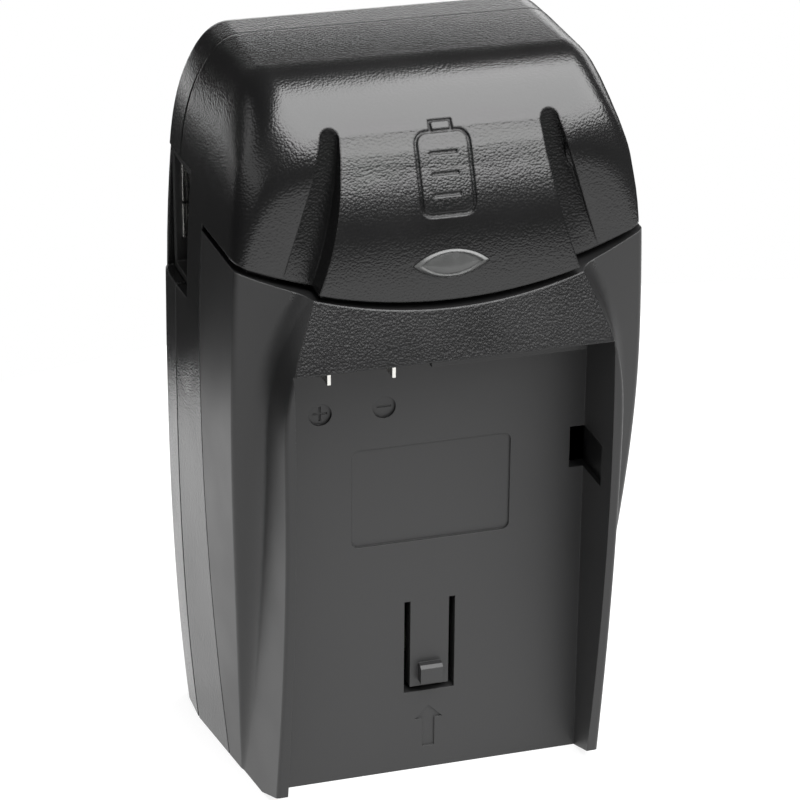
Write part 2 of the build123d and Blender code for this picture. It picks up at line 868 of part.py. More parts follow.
def make_prong_spring(x):
    half = spring_width / 2
    crest = pivot_y - prong_tail - plug_clearance
    low = pivot_height - spring_span / 2
    high = pivot_height + spring_span / 2
    upper = ThreePointArc((board_back_y, low), (crest, pivot_height), (board_back_y, high))
    lower = ThreePointArc(
        (board_back_y, high - spring_gauge * 2),
        (crest - spring_gauge, pivot_height),
        (board_back_y, low + spring_gauge * 2),
    )
    ends = [Line(upper @ 1, lower @ 0), Line(lower @ 1, upper @ 0)]
    return prism_x(face_of(upper, ends[0], lower, ends[1]), (x - half, x + half))


# Circuit board and what stands on it
def make_circuit_board():
    width = (-board_half_width, board_half_width)
    board = block(width, (board_front_y, board_back_y), (board_bottom, board_top))
    notch = socket_inner_x - hole_clearance
    board -= block((-far, -notch), (-far, far), (socket_bottom - socket_clearance, far))
    for x, z in board_screw_places():
        board -= rod_y(small_screw_radius + hole_clearance, x, (-far, far), z)
    return board


def make_transformer_core():
    x, z = transformer_place
    y = (transformer_y - core_depth / 2, transformer_y + core_depth / 2)
    core = block((x - core_width / 2, x + core_width / 2), y, (z - core_height / 2, z + core_height / 2))
    window_z = (z - core_height / 2 + core_yoke, z + core_height / 2 - core_yoke)
    for side in (1, -1):
        window_x = sorted((x + side * core_leg / 2, x + side * (core_width / 2 - core_side)))
        core -= block(window_x, y, window_z)
    return core


def spool(half_x, half_y, half_z):
    x, z = transformer_place
    return Pos(x, transformer_y, z) * Box(2 * half_x, 2 * half_y, 2 * half_z)


def make_transformer_bobbin():
    x, z = transformer_place
    tube = spool(core_leg / 2 + bobbin_wall, core_depth / 2 + bobbin_wall, coil_half_height + bobbin_wall)
    flange = spool(coil_half_width, coil_half_depth, coil_half_height + bobbin_wall)
    foot_y = (transformer_y + coil_half_depth - bobbin_wall, board_front_y)
    foot_z = (z - core_height / 2, z + core_height / 2)
    foot = block((x - coil_half_width, x + coil_half_width), foot_y, foot_z)
    body = tube + (flange - spool(far, far, coil_half_height)) + foot
    yoke_y = (transformer_y - core_depth / 2, transformer_y + core_depth / 2)
    body -= block((x - far, x + far), yoke_y, (-far, z - coil_half_height - bobbin_wall))
    return body - spool(core_leg / 2, core_depth / 2, far)


def make_transformer_winding():
    coil = spool(coil_half_width - bobbin_wall, coil_half_depth - bobbin_wall, coil_half_height)
    coil = fillet(coil.edges().filter_by(Axis.Z), coil_edge_radius)
    return coil - spool(core_leg / 2 + bobbin_wall, core_depth / 2 + bobbin_wall, far)


def lead(x, z, reach):
    half = part_lead / 2
    return block((x - half, x + half), (board_front_y - reach, board_front_y), (z - half, z + half))


def make_mains_capacitor():
    x, z = mains_capacitor_place
    radius = mains_capacitor_radius
    half = mains_capacitor_length / 2
    y = board_front_y - radius - part_standoff
    can = rod_z(radius, x, y, (z - half, z + half))
    can = fillet(can.edges(), can_edge_radius)
    for offset_x in (-radius / 2, radius / 2):
        wire_x = x + offset_x
        wire_z = (z + half - part_lead, z + half + 2 * part_lead)
        can += block((wire_x - part_lead / 2, wire_x + part_lead / 2), (y, y + part_lead), wire_z)
        can += lead(wire_x, wire_z[1] - part_lead / 2, board_front_y - y)
    return can


def make_output_capacitor():
    x, z = output_capacitor_place
    can = rod_y(output_capacitor_radius, x, (board_front_y - output_capacitor_length, board_front_y), z)
    return fillet(can.edges().sort_by(Axis.Y)[0], can_edge_radius)


def make_input_choke():
    x, z = choke_place
    drum = rod_y(choke_radius, x, (board_front_y - choke_length, board_front_y), z)
    waist = (board_front_y - choke_length + choke_flange, board_front_y - choke_flange)
    return drum - (rod_y(choke_radius + 1, x, waist, z) - rod_y(choke_radius - choke_groove, x, waist, z))


def make_rectifier():
    x, z = rectifier_place
    span_x = (x - rectifier_length / 2, x + rectifier_length / 2)
    span_z = (z - rectifier_height / 2, z + rectifier_height / 2)
    return block(span_x, (board_front_y - rectifier_thickness, board_front_y), span_z)


def make_control_chip():
    x, z = chip_place
    y = (board_front_y - chip_thickness, board_front_y - chip_standoff)
    chip = block((x - chip_length / 2, x + chip_length / 2), y, (z - chip_width / 2, z + chip_width / 2))
    for row in range(chip_leads // 2):
        lead_x = x + (row - (chip_leads / 2 - 1) / 2) * chip_pitch
        half = chip_pitch / 6
        lead_z = (z - chip_width / 2 - chip_lead_reach, z + chip_width / 2 + chip_lead_reach)
        chip += block((lead_x - half, lead_x + half), (y[1] - chip_standoff, board_front_y), lead_z)
    return chip


def make_fuse():
    x, z = fuse_place
    half = fuse_length / 2
    y = board_front_y - fuse_radius - part_standoff
    fuse = rod_x(fuse_radius, (x - half, x + half), y, z)
    fuse = fillet(fuse.edges(), fuse_radius / 2)
    reach = half + 2 * part_lead
    fuse += rod_x(part_lead / 2, (x - reach, x + reach), y, z)
    for side in (1, -1):
        fuse += lead(x + side * (reach - part_lead / 2), z, board_front_y - y)
    return fuse


def make_interference_capacitor():
    x, z = disc_place
    y = board_front_y - disc_radius - part_standoff * 2
    disc = rod_x(disc_radius, (x - disc_thickness / 2, x + disc_thickness / 2), y, z)
    disc = fillet(disc.edges(), disc_thickness / 3)
    for offset_z in (-disc_radius / 2, disc_radius / 2):
        disc += lead(x, z + offset_z, disc_radius)
    return disc


# Screws, with their heads towards +Y in the case and towards -Y on the board
def make_case_screws():
    screws = []
    for x, z in case_screw_places():
        seat = back_y - screw_head_depth
        shank = rod_y(screw_radius, x, (rear_seam_y - screw_length + hole_clearance, seat), z)
        screws.append(shank + rod_y(screw_head_radius, x, (seat, seat + screw_head_height), z))
    return Compound(children=[screw.solid() for screw in screws])


def make_small_screws(places, seat):
    screws = []
    for x, z in places:
        shank = rod_y(small_screw_radius, x, (seat, seat + small_screw_length), z)
        screws.append(shank + rod_y(small_head_radius, x, (seat - small_head_height, seat), z))
    return Compound(children=[screw.solid() for screw in screws])


parts = {
    "rear_shell": make_rear_shell(),
    "front_shell": make_front_shell(),
    "battery_plate": make_battery_plate(),
    "status_lens": make_status_lens(),
    "status_led": make_status_led(),
    "positive_contact": make_battery_contact(positive_x),
    "negative_contact": make_battery_contact(negative_x),
    "socket_body": make_socket_body(),
    "socket_contact_upper": make_socket_contact(socket_plate_spans[1]),
    "socket_contact_lower": make_socket_contact(socket_plate_spans[0]),
    "prong_carrier": make_prong_carrier(),
    "prong_left": make_prong(prong_places[0]),
    "prong_right": make_prong(prong_places[1]),
    "plug_retainer": make_plug_retainer(),
    "prong_spring_left": make_prong_spring(prong_places[0]),
    "prong_spring_right": make_prong_spring(prong_places[1]),
    "circuit_board": make_circuit_board(),
    "transformer_core": make_transformer_core(),
    "transformer_bobbin": make_transformer_bobbin(),
    "transformer_winding": make_transformer_winding(),
    "mains_capacitor": make_mains_capacitor(),
    "output_capacitor": make_output_capacitor(),
    "input_choke": make_input_choke(),
    "rectifier": make_rectifier(),
    "control_chip": make_control_chip(),
    "fuse": make_fuse(),
    "interference_capacitor": make_interference_capacitor(),
    "case_screws": make_case_screws(),
    "board_screws": make_small_screws(board_screw_places(), board_front_y),
    "retainer_screws": make_small_screws(retainer_screw_places(), retainer_back_y - retainer_thickness),
}

os.makedirs("parts", exist_ok=True)
for node, solid in parts.items():
    export_step(solid, f"parts/{node}.step")
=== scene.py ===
# %% [markdown]
# # A camera battery charger for a studio picture
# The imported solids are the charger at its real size, and this lesson dresses them: it smooths the
# mouldings, engraves the small signs, and gives each surface the finish of the real one. Nothing here moves
# or resizes a solid.

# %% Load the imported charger
import math
import bpy
from mathutils import Matrix, Vector


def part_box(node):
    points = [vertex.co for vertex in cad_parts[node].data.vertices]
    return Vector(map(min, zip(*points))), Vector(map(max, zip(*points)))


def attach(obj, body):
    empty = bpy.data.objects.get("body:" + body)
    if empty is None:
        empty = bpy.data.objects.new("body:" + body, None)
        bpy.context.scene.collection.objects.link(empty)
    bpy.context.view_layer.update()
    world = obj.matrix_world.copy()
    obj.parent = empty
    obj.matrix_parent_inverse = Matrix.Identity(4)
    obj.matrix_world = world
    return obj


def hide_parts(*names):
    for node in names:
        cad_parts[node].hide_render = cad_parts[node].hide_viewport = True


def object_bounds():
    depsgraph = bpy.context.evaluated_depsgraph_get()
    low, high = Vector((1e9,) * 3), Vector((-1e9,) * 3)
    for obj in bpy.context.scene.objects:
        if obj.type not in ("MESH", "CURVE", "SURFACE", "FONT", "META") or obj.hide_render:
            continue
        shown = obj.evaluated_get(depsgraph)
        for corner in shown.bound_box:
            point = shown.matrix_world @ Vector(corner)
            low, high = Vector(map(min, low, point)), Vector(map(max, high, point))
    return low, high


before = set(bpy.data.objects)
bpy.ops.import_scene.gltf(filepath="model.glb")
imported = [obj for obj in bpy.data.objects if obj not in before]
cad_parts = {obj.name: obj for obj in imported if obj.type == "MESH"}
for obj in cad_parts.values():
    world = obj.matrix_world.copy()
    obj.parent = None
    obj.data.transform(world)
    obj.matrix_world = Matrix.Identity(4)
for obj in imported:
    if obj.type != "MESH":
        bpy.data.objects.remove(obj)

mm = 0.001
cad_low, cad_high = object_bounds()

# %% [markdown]
# ## The camera
# The picture looks down on the charger from the front left with a long lens, so the sides hardly converge.
# A camera can be placed by eye, but here its turn, tilt and distance were found from the straight edges of
# the case, so they are written as values and joined into one matrix.

# %% Place the camera
camera_turn = math.radians(17.2737)
camera_tilt = math.radians(24.4085)
camera_roll = math.radians(0.4429)
camera_eye = Vector((-109.366, -347.387, 213.784)) * mm
camera_lens = 142.04
nearest_view = 10 * mm

camera_data = bpy.data.cameras.new("studio_camera")
camera_data.lens = camera_lens
camera_data.clip_start = nearest_view
camera = bpy.data.objects.new("studio_camera", camera_data)
bpy.context.scene.collection.objects.link(camera)
aim = Matrix.Rotation(-camera_turn, 4, "Z") @ Matrix.Rotation(math.pi / 2 - camera_tilt, 4, "X")
camera.matrix_world = Matrix.Translation(camera_eye) @ aim @ Matrix.Rotation(camera_roll, 4, "Z")
bpy.context.scene.camera = camera
print("camera at", [round(value, 3) for value in camera_eye])

# %% [markdown]
# ## Floor and light
# Black plastic shows mostly what it mirrors, so the light is planned backwards from the bands on the real
# dome. Its bright band faces a wide soft box overhead at the front right, and the dark band above it faces
# the gap between that box and a low panel behind, which the top faces. A strip low at the back and a panel
# on the left light the left wall. One big lamp would give a flat grey case. The floor is a small disc that
# glows a little, so it stays white without a strong lamp above it. The world is dark for mirrored rays,
# which keeps the bands apart, and white where the camera sees it directly.

# %% Lay the floor
floor_radius = 0.27
floor_middle = (0.05, -0.13, 0)
floor_grey = 0.22
floor_roughness = 0.8
floor_gloss = 0.1
floor_glow = 0.85

bpy.ops.object.select_all(action="DESELECT")
bpy.ops.mesh.primitive_circle_add(vertices=128, radius=floor_radius, fill_type="NGON", location=floor_middle)
floor = bpy.context.object
floor.name = "studio_floor"

floor_finish = bpy.data.materials.new("pale_floor")
floor_finish.use_nodes = True
floor_shader = floor_finish.node_tree.nodes["Principled BSDF"]
floor_shader.inputs["Base Color"].default_value = (floor_grey, floor_grey, floor_grey, 1)
floor_shader.inputs["Roughness"].default_value = floor_roughness
floor_shader.inputs["Specular IOR Level"].default_value = floor_gloss
floor_shader.inputs["Emission Color"].default_value = (1, 1, 1, 1)
floor_shader.inputs["Emission Strength"].default_value = floor_glow
floor.data.materials.append(floor_finish)
print("floor disc", 2 * floor_radius, "m across")

# %% Hang the soft boxes
studio_centre = Vector((0, 0, 60 * mm))


def soft_box(name, turn, rise, distance, width, height, brightness):
    light = bpy.data.lights.new(name, "AREA")
    light.shape = "RECTANGLE"
    light.size = width
    light.size_y = height
    light.energy = brightness * math.pi * width * height
    lamp = bpy.data.objects.new(name, light)
    bpy.context.scene.collection.objects.link(lamp)
    around, above = math.radians(turn), math.radians(rise)
    level = math.cos(above)
    way = Vector((math.sin(around) * level, -math.cos(around) * level, math.sin(above)))
    lamp.location = studio_centre + distance * way
    lamp.rotation_euler = way.to_track_quat("Z", "Y").to_euler()
    lamp.visible_camera = False


soft_box("key_box", turn=45, rise=60, distance=0.8, width=1.15, height=1.05, brightness=7.8)
soft_box("back_panel", turn=152, rise=10.3, distance=0.9, width=1.2, height=0.30, brightness=1.9)
soft_box("low_strip", turn=-158, rise=-3.5, distance=0.5, width=0.26, height=0.05, brightness=1.7)
soft_box("left_panel", turn=-80, rise=22, distance=0.9, width=1.9, height=0.28, brightness=1.2)
print("hung", len(bpy.data.lights), "soft boxes")

# %% Set the world
mirrored_grey = 0.04

world = bpy.data.worlds.new("studio_world")
bpy.context.scene.world = world
world.use_nodes = True
world_nodes = world.node_tree.nodes
world_links = world.node_tree.links
pale = world_nodes["Background"]
pale.inputs["Color"].default_value = (1, 1, 1, 1)
dark = world_nodes.new("ShaderNodeBackground")
dark.inputs["Color"].default_value = (mirrored_grey, mirrored_grey, mirrored_grey, 1)
sight = world_nodes.new("ShaderNodeLightPath")
choice = world_nodes.new("ShaderNodeMixShader")
world_links.new(sight.outputs["Is Camera Ray"], choice.inputs["Fac"])
world_links.new(dark.outputs["Background"], choice.inputs[1])
world_links.new(pale.outputs["Background"], choice.inputs[2])
world_links.new(choice.outputs["Shader"], world_nodes["World Output"].inputs["Surface"])
bpy.context.scene.view_settings.view_transform = "Standard"
print("the world is white to the camera and dark to reflections")

# %% [markdown]
# ## Moulded plastic
# The case is black plastic from a spark-eroded mould, so it carries a fine pebbled grain that breaks up the
# edges of every reflection. A picture of grain could be wrapped on, but a Voronoi pattern on Object
# coordinates needs no unwrapping and has its size in millimetres. Its cells are lowest in the middle, so
# the bump is turned over to make pebbles of them. A Bevel node rounds the shading of edges that are too
# small to model.

# %% Write the steps that the finishes share
noise_low, noise_high = 0.3, 0.7
rounding_samples = 4


def new_finish(name):
    finish = bpy.data.materials.new(name)
    finish.use_nodes = True
    return finish, finish.node_tree.nodes, finish.node_tree.links


def noise(nodes, links, place, size, detail):
    texture = nodes.new("ShaderNodeTexNoise")
    texture.inputs["Scale"].default_value = 1 / size
    texture.inputs["Detail"].default_value = detail
    links.new(place, texture.inputs["Vector"])
    return texture.outputs["Fac"]


def pebbles(nodes, links, place, size):
    texture = nodes.new("ShaderNodeTexVoronoi")
    texture.inputs["Scale"].default_value = 1 / size
    links.new(place, texture.inputs["Vector"])
    return texture.outputs["Distance"]


def spread(nodes, links, source, low, high):
    remap = nodes.new("ShaderNodeMapRange")
    remap.inputs["From Min"].default_value = noise_low
    remap.inputs["From Max"].default_value = noise_high
    remap.inputs["To Min"].default_value = low
    remap.inputs["To Max"].default_value = high
    links.new(source, remap.inputs["Value"])
    return remap.outputs["Result"]


def tone(nodes, links, source, low, high):
    blend = nodes.new("ShaderNodeMix")
    blend.data_type = "RGBA"
    blend.inputs["A"].default_value = (*low, 1)
    blend.inputs["B"].default_value = (*high, 1)
    links.new(source, blend.inputs["Factor"])
    return blend.outputs["Result"]


def relief(nodes, links, height, depth, edge):
    rounding = nodes.new("ShaderNodeBevel")
    rounding.samples = rounding_samples
    rounding.inputs["Radius"].default_value = edge
    bump = nodes.new("ShaderNodeBump")
    bump.invert = depth < 0
    bump.inputs["Strength"].default_value = 1
    bump.inputs["Distance"].default_value = abs(depth)
    links.new(height, bump.inputs["Height"])
    links.new(rounding.outputs["Normal"], bump.inputs["Normal"])
    links.new(bump.outputs["Normal"], nodes["Principled BSDF"].inputs["Normal"])


# %% Mix the plastics
cloud_size = 12 * mm
cloud_dark, cloud_light = 0.88, 1.15
gloss_sway = 0.03
leather_grain = 0.3 * mm
satin_grain = 0.2 * mm
moulded_edge = 0.3 * mm


def moulded_plastic(name, colour, roughness, grain, depth, edge=moulded_edge):
    finish, nodes, links = new_finish(name)
    shader = nodes["Principled BSDF"]
    place = nodes.new("ShaderNodeTexCoord").outputs["Object"]
    cloud = noise(nodes, links, place, cloud_size, 2)
    low = [cloud_dark * value for value in colour]
    high = [cloud_light * value for value in colour]
    links.new(tone(nodes, links, cloud, low, high), shader.inputs["Base Color"])
    gloss = spread(nodes, links, cloud, roughness - gloss_sway, roughness + gloss_sway)
    links.new(gloss, shader.inputs["Roughness"])
    relief(nodes, links, pebbles(nodes, links, place, grain), -depth, edge)
    return finish


case_black = moulded_plastic("case_black", (0.006, 0.006, 0.0061), 0.23, leather_grain, 0.021 * mm)
plate_black = moulded_plastic("plate_black", (0.02, 0.02, 0.0203), 0.48, satin_grain, 0.006 * mm, 0.12 * mm)
brow_black = moulded_plastic("brow_black", (0.008, 0.008, 0.0082), 0.26, leather_grain, 0.019 * mm, 0.35 * mm)
flank_black = moulded_plastic("flank_black", (0.009, 0.009, 0.0092), 0.38, satin_grain, 0.006 * mm, 0.2 * mm)
socket_black = moulded_plastic("socket_black", (0.006, 0.006, 0.006), 0.45, leather_grain, 0.02 * mm)
carrier_black = moulded_plastic("carrier_black", (0.01, 0.01, 0.0105), 0.4, leather_grain, 0.03 * mm)
print("mixed the plastics")

# %% [markdown]
# ## Helpers for dressing a moulding
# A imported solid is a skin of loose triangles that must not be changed, so each moulding that gets engraved
# or smoothed is copied first. The copy has its doubles merged and its shading smoothed by angle. Where a
# piece has flat faces, its normals are also weighted by face area, which keeps those faces flat and the
# rolled edges round.

# %% Copy and smooth a solid
merge_gap = 0.002 * mm
face_weight = 80


def pick(piece):
    bpy.ops.object.select_all(action="DESELECT")
    piece.select_set(True)
    bpy.context.view_layer.objects.active = piece


def apply_modifier(piece, name, kind, **settings):
    modifier = piece.modifiers.new(name, kind)
    for key, value in settings.items():
        setattr(modifier, key, value)
    pick(piece)
    bpy.ops.object.modifier_apply(modifier=modifier.name)


def merge_doubles(piece, outward=False):
    pick(piece)
    bpy.ops.object.mode_set(mode="EDIT")
    bpy.ops.mesh.select_all(action="SELECT")
    bpy.ops.mesh.remove_doubles(threshold=merge_gap)
    if outward:
        bpy.ops.mesh.normals_make_consistent(inside=False)
    bpy.ops.object.mode_set(mode="OBJECT")


def dressed_copy(node, name):
    piece = bpy.data.objects.new(name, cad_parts[node].data.copy())
    bpy.context.scene.collection.objects.link(piece)
    pick(piece)
    bpy.ops.mesh.customdata_custom_splitnormals_clear()
    merge_doubles(piece)
    return piece


def smooth(piece, angle, even=True):
    pick(piece)
    bpy.ops.object.shade_smooth_by_angle(angle=math.radians(angle))
    if even:
        apply_modifier(piece, "even_normals", "WEIGHTED_NORMAL", keep_sharp=True, weight=face_weight)


# %% Select and soften by place


def select_only(piece, parts, wanted, mode):
    pick(piece)
    bpy.ops.object.mode_set(mode="EDIT")
    bpy.ops.mesh.select_mode(type=mode)
    bpy.ops.mesh.select_all(action="DESELECT")
    bpy.ops.object.mode_set(mode="OBJECT")
    chosen = [part for part in parts if wanted(part)]
    for part in chosen:
        part.select = True
    bpy.ops.object.mode_set(mode="EDIT")
    return len(chosen)


def soften_edges(piece, wanted, width):
    mesh = piece.data
    sides = {}
    for face in mesh.polygons:
        for key in face.edge_keys:
            sides.setdefault(key, []).append(face.normal.copy())

    def fits(edge):
        ends = [mesh.vertices[index].co for index in edge.vertices]
        return wanted(ends, sides[edge.key])

    count = select_only(piece, mesh.edges, fits, "EDGE")
    bpy.ops.mesh.bevel(offset=width, segments=1, affect="EDGES", clamp_overlap=True)
    bpy.ops.object.mode_set(mode="OBJECT")
    print("softened", count, "edges of", piece.name)


# %% Coat a piece and let it stand for its solid


def coat(piece, *finishes):
    piece.data.materials.clear()
    for finish in finishes:
        piece.data.materials.append(finish)


def stand_in(piece, node, body):
    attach(piece, body)
    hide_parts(node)
    print(piece.name, "stands for", node, "with", len(piece.data.polygons), "faces")


# %% [markdown]
# ## Engraved signs
# The mould has raised signs that leave fine grooves and sunk shapes in the plastic. They could be drawn
# with a texture, but a groove catches the light on its walls, so each line is a thin tube along a path on
# the surface, and each sunk shape a thin filled outline, cut out with a Boolean. The path finds the surface
# by looking along +Y, so it follows the curved visor by itself.

# %% Make the cutters
probe_start = cad_low.y - 10 * mm


def surface_y(piece, x, z):
    hit, spot, _, _ = piece.ray_cast(Vector((x, probe_start, z)), Vector((0, 1, 0)))
    return spot.y if hit else 0


def drawn_curve(name, kind, points, closed):
    curve = bpy.data.curves.new(name, "CURVE")
    curve.dimensions = kind
    line = curve.splines.new("POLY")
    line.points.add(len(points) - 1)
    for knot, place in zip(line.points, points):
        knot.co = (*place, 1)
    line.use_cyclic_u = closed
    return curve


def cutter_from(curve):
    cutter = bpy.data.objects.new(curve.name, curve)
    bpy.context.scene.collection.objects.link(cutter)
    pick(cutter)
    bpy.ops.object.convert(target="MESH")
    return bpy.context.object


def stroke(piece, path, radius, closed=False):
    points = [(x, surface_y(piece, x, z), z) for x, z in path]
    curve = drawn_curve("stroke", "3D", points, closed)
    curve.bevel_depth = radius
    curve.bevel_resolution = 2
    curve.use_fill_caps = True
    return cutter_from(curve)


def sunk_shape(piece, outline, depth):
    curve = drawn_curve("sunk_shape", "2D", [(x, z, 0) for x, z in outline], closed=True)
    curve.fill_mode = "BOTH"
    curve.extrude = depth
    cutter = cutter_from(curve)
    cutter.location.y = surface_y(piece, *outline[0])
    cutter.rotation_euler.x = math.pi / 2
    merge_doubles(cutter, outward=True)
    return cutter


def engrave(piece, cutters):
    pick(cutters[0])
    for cutter in cutters:
        cutter.select_set(True)
    bpy.ops.object.join()
    tool = bpy.context.object
    cut = {"operation": "DIFFERENCE", "solver": "EXACT", "object": tool, "use_self": True}
    apply_modifier(piece, "engraving", "BOOLEAN", **cut)
    bpy.data.objects.remove(tool)


# %% Draw the paths


def run(start, end, steps):
    return [tuple(a + (b - a) * step / steps for a, b in zip(start, end)) for step in range(steps + 1)]


def rounded_box(half_width, low, high, corner, corner_steps=6, side_steps=14):
    path = []
    corners = ((1, low, -90), (1, high, 0), (-1, high, 90), (-1, low, 180))
    for side, z, start in corners:
        inward = corner if z == low else -corner
        for step in range(corner_steps + 1):
            angle = math.radians(start + 90 * step / corner_steps)
            x = side * (half_width - corner) + corner * math.cos(angle)
            path.append((x, z + inward + corner * math.sin(angle)))
        if side == 1 and z == low:
            path += run((half_width, low + corner), (half_width, high - corner), side_steps)[1:-1]
        if side == -1 and z == high:
            path += run((-half_width, high - corner), (-half_width, low + corner), side_steps)[1:-1]
    return path


# %% [markdown]
# ## Front shell
# The dome, the visor and the side bands are one moulding. The solid has a thin crease at the visor's top
# that the real one hasn't, so the two rows of points there are lifted a little, and the edge at the rear
# seam is softened to catch a line of light. The front carries a plain battery sign, an upright cell with
# three bars, which tells what the charger is for. The sign is cut before the shell is smoothed.

# %% Even the visor and find the rear seam
visor_half_width = 13.0 * mm
visor_back = -11.0 * mm
visor_rows = ((86.8 * mm, 87.1 * mm, 0.1 * mm), (86.4 * mm, 86.8 * mm, 0.175 * mm))
seam_edge = 0.18 * mm
seam_reach = 0.01 * mm
rear_shell_depth = 7.4 * mm
straight_on = 0.9
rear_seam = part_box("rear_shell")[1].y - rear_shell_depth
case_middle = Vector((0, rear_seam, (cad_low.z + cad_high.z) / 2))


def lift_row(piece, low, high, lift):
    def in_row(vertex):
        across = abs(vertex.co.x) < visor_half_width and vertex.co.y < visor_back
        return across and low < vertex.co.z < high

    moved = select_only(piece, piece.data.vertices, in_row, "VERT")
    bpy.ops.transform.translate(value=(0, -lift, 0))
    bpy.ops.object.mode_set(mode="OBJECT")
    print("lifted", moved, "points of the visor's top")


def on_rear_seam(ends, normals):
    if any(abs(end.y - rear_seam) > seam_reach for end in ends):
        return False
    outward = (ends[0] + ends[1]) / 2 - case_middle
    walls = [normal for normal in normals if abs(normal.y) < straight_on]
    return len(walls) == 1 and walls[0].dot(outward) > 0


dome = dressed_copy("front_shell", "front_moulding")
for row_low, row_high, row_lift in visor_rows:
    lift_row(dome, row_low, row_high, row_lift)
soften_edges(dome, on_rear_seam, seam_edge)

# %% Engrave the battery sign
sign_half_width = 3.3 * mm
sign_low = 79.2 * mm
sign_high = 88.4 * mm
sign_corner = 1.3 * mm
sign_line = 0.26 * mm
cap_half_width = 1.3 * mm
cap_height = 1.1 * mm
bar_half_width = 1.7 * mm
bar_pitch = 2.3 * mm
dome_angle = 32

cap_path = [(-cap_half_width, sign_high), (-cap_half_width, sign_high + cap_height)]
cap_path += [(cap_half_width, sign_high + cap_height), (cap_half_width, sign_high)]
lines = [stroke(dome, rounded_box(sign_half_width, sign_low, sign_high, sign_corner), sign_line, closed=True)]
lines.append(stroke(dome, cap_path, sign_line))
for bar in range(3):
    bar_z = (sign_low + sign_high) / 2 + (bar - 1) * bar_pitch
    lines.append(stroke(dome, [(-bar_half_width, bar_z), (bar_half_width, bar_z)], sign_line))
engrave(dome, lines)
smooth(dome, dome_angle, even=False)
coat(dome, case_black)
stand_in(dome, "front_shell", "case")

# %% [markdown]
# ## Battery plate
# The plate is one moulding with three finishes: a grained brow, flanks with a soft gloss, and a dull
# pocket. Its pocket floor has a plus and a minus beside the contacts and an arrow at the foot that shows
# which way the battery slides in. The finishes could be three pieces, but the real one has no joint there,
# so the faces are chosen by their place instead.

# %% Engrave the polarity signs and the arrow
sign_height = 52.3 * mm
plus_x = -14.4 * mm
minus_x = -6.2 * mm
polarity_half = 0.95 * mm
fine_line = 0.14 * mm
arrow_tip = 9.2 * mm
arrow_foot = 3.2 * mm
arrow_wing = 1.85 * mm
arrow_shaft = 0.8 * mm
arrow_depth = 0.2 * mm

plate = dressed_copy("battery_plate", "battery_moulding")
lines = []
for x in (plus_x, minus_x):
    level = [(x - polarity_half, sign_height), (x + polarity_half, sign_height)]
    lines.append(stroke(plate, level, fine_line))
upright = [(plus_x, sign_height - polarity_half), (plus_x, sign_height + polarity_half)]
lines.append(stroke(plate, upright, fine_line))
arrow_shoulder = arrow_tip - arrow_wing
left_half = [(-arrow_shaft, arrow_foot), (-arrow_shaft, arrow_shoulder), (-arrow_wing, arrow_shoulder)]
right_half = [(-x, z) for x, z in reversed(left_half)]
lines.append(sunk_shape(plate, left_half + [(0, arrow_tip)] + right_half, arrow_depth))
engrave(plate, lines)
print("engraved", len(lines), "lines and shapes in the pocket floor")

# %% Give the brow, the flanks and the pocket their finishes
brow_low = 61.5 * mm
brow_half_width = 20.6 * mm
brow_depth = 5.5 * mm
brow_facing = 0.6
brow_sideways = 0.3
pocket_half_width = 20.3 * mm
pocket_top = 62.0 * mm
plate_angle = 30
brow_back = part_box("battery_plate")[0].y + brow_depth


def on_brow(face, corners):
    inside = all(abs(corner.x) < brow_half_width and corner.z > brow_low for corner in corners)
    forward = face.normal.y < -brow_facing and abs(face.normal.x) < brow_sideways
    return inside and forward and face.center.y < brow_back


def in_pocket(corners):
    return all(abs(corner.x) < pocket_half_width and corner.z < pocket_top for corner in corners)


smooth(plate, plate_angle)
coat(plate, flank_black, brow_black, plate_black)
for face in plate.data.polygons:
    corners = [plate.data.vertices[index].co for index in face.vertices]
    if on_brow(face, corners):
        face.material_index = 1
    elif in_pocket(corners):
        face.material_index = 2
print("grained", sum(face.material_index == 1 for face in plate.data.polygons), "faces of the brow")
stand_in(plate, "battery_plate", "case")

# %% [markdown]
# ## Status lens
# The lens is a pointed oval of smoky plastic with a raised rim, a fine groove inside it and a low crown. An
# inset runs wild at the sharp tips, so the front is extruded and drawn in towards its middle instead, step
# by step, which leaves the rim, the groove and the crown as real facets.

# %% Raise the crown of the lens
lens_steps = (
    (0.28 * mm, 0.24 * mm), (0.1 * mm, 0), (0.14 * mm, -0.2 * mm),
    (0.3 * mm, 0.1 * mm), (0.45 * mm, 0.06 * mm),
)
tip_slip = 2.2
lens_front_depth = 0.9 * mm
lens_angle = 22

lens = dressed_copy("status_lens", "status_window")
lens_low, lens_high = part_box("status_lens")
lens_centre = (lens_low + lens_high) / 2
half_width, half_height = (lens_high.x - lens_low.x) / 2, (lens_high.z - lens_low.z) / 2


def on_lens_front(face):
    return face.normal.y < -straight_on and face.center.y < lens_low.y + lens_front_depth


select_only(lens, lens.data.polygons, on_lens_front, "FACE")
for inward, rise in lens_steps:
    across, up = 1 - tip_slip * inward / half_width, 1 - inward / half_height
    bpy.ops.mesh.extrude_region_move(TRANSFORM_OT_translate={"value": (0, -rise, 0)})
    bpy.ops.transform.resize(value=(across, 1, up), center_override=lens_centre)
    half_width, half_height = half_width * across, half_height * up
bpy.ops.object.mode_set(mode="OBJECT")
smooth(lens, lens_angle)

# %% Cloud the lens
haze_size = 2 * mm
ripple_size = 0.4 * mm
ripple_depth = 0.006 * mm
lens_edge = 0.15 * mm

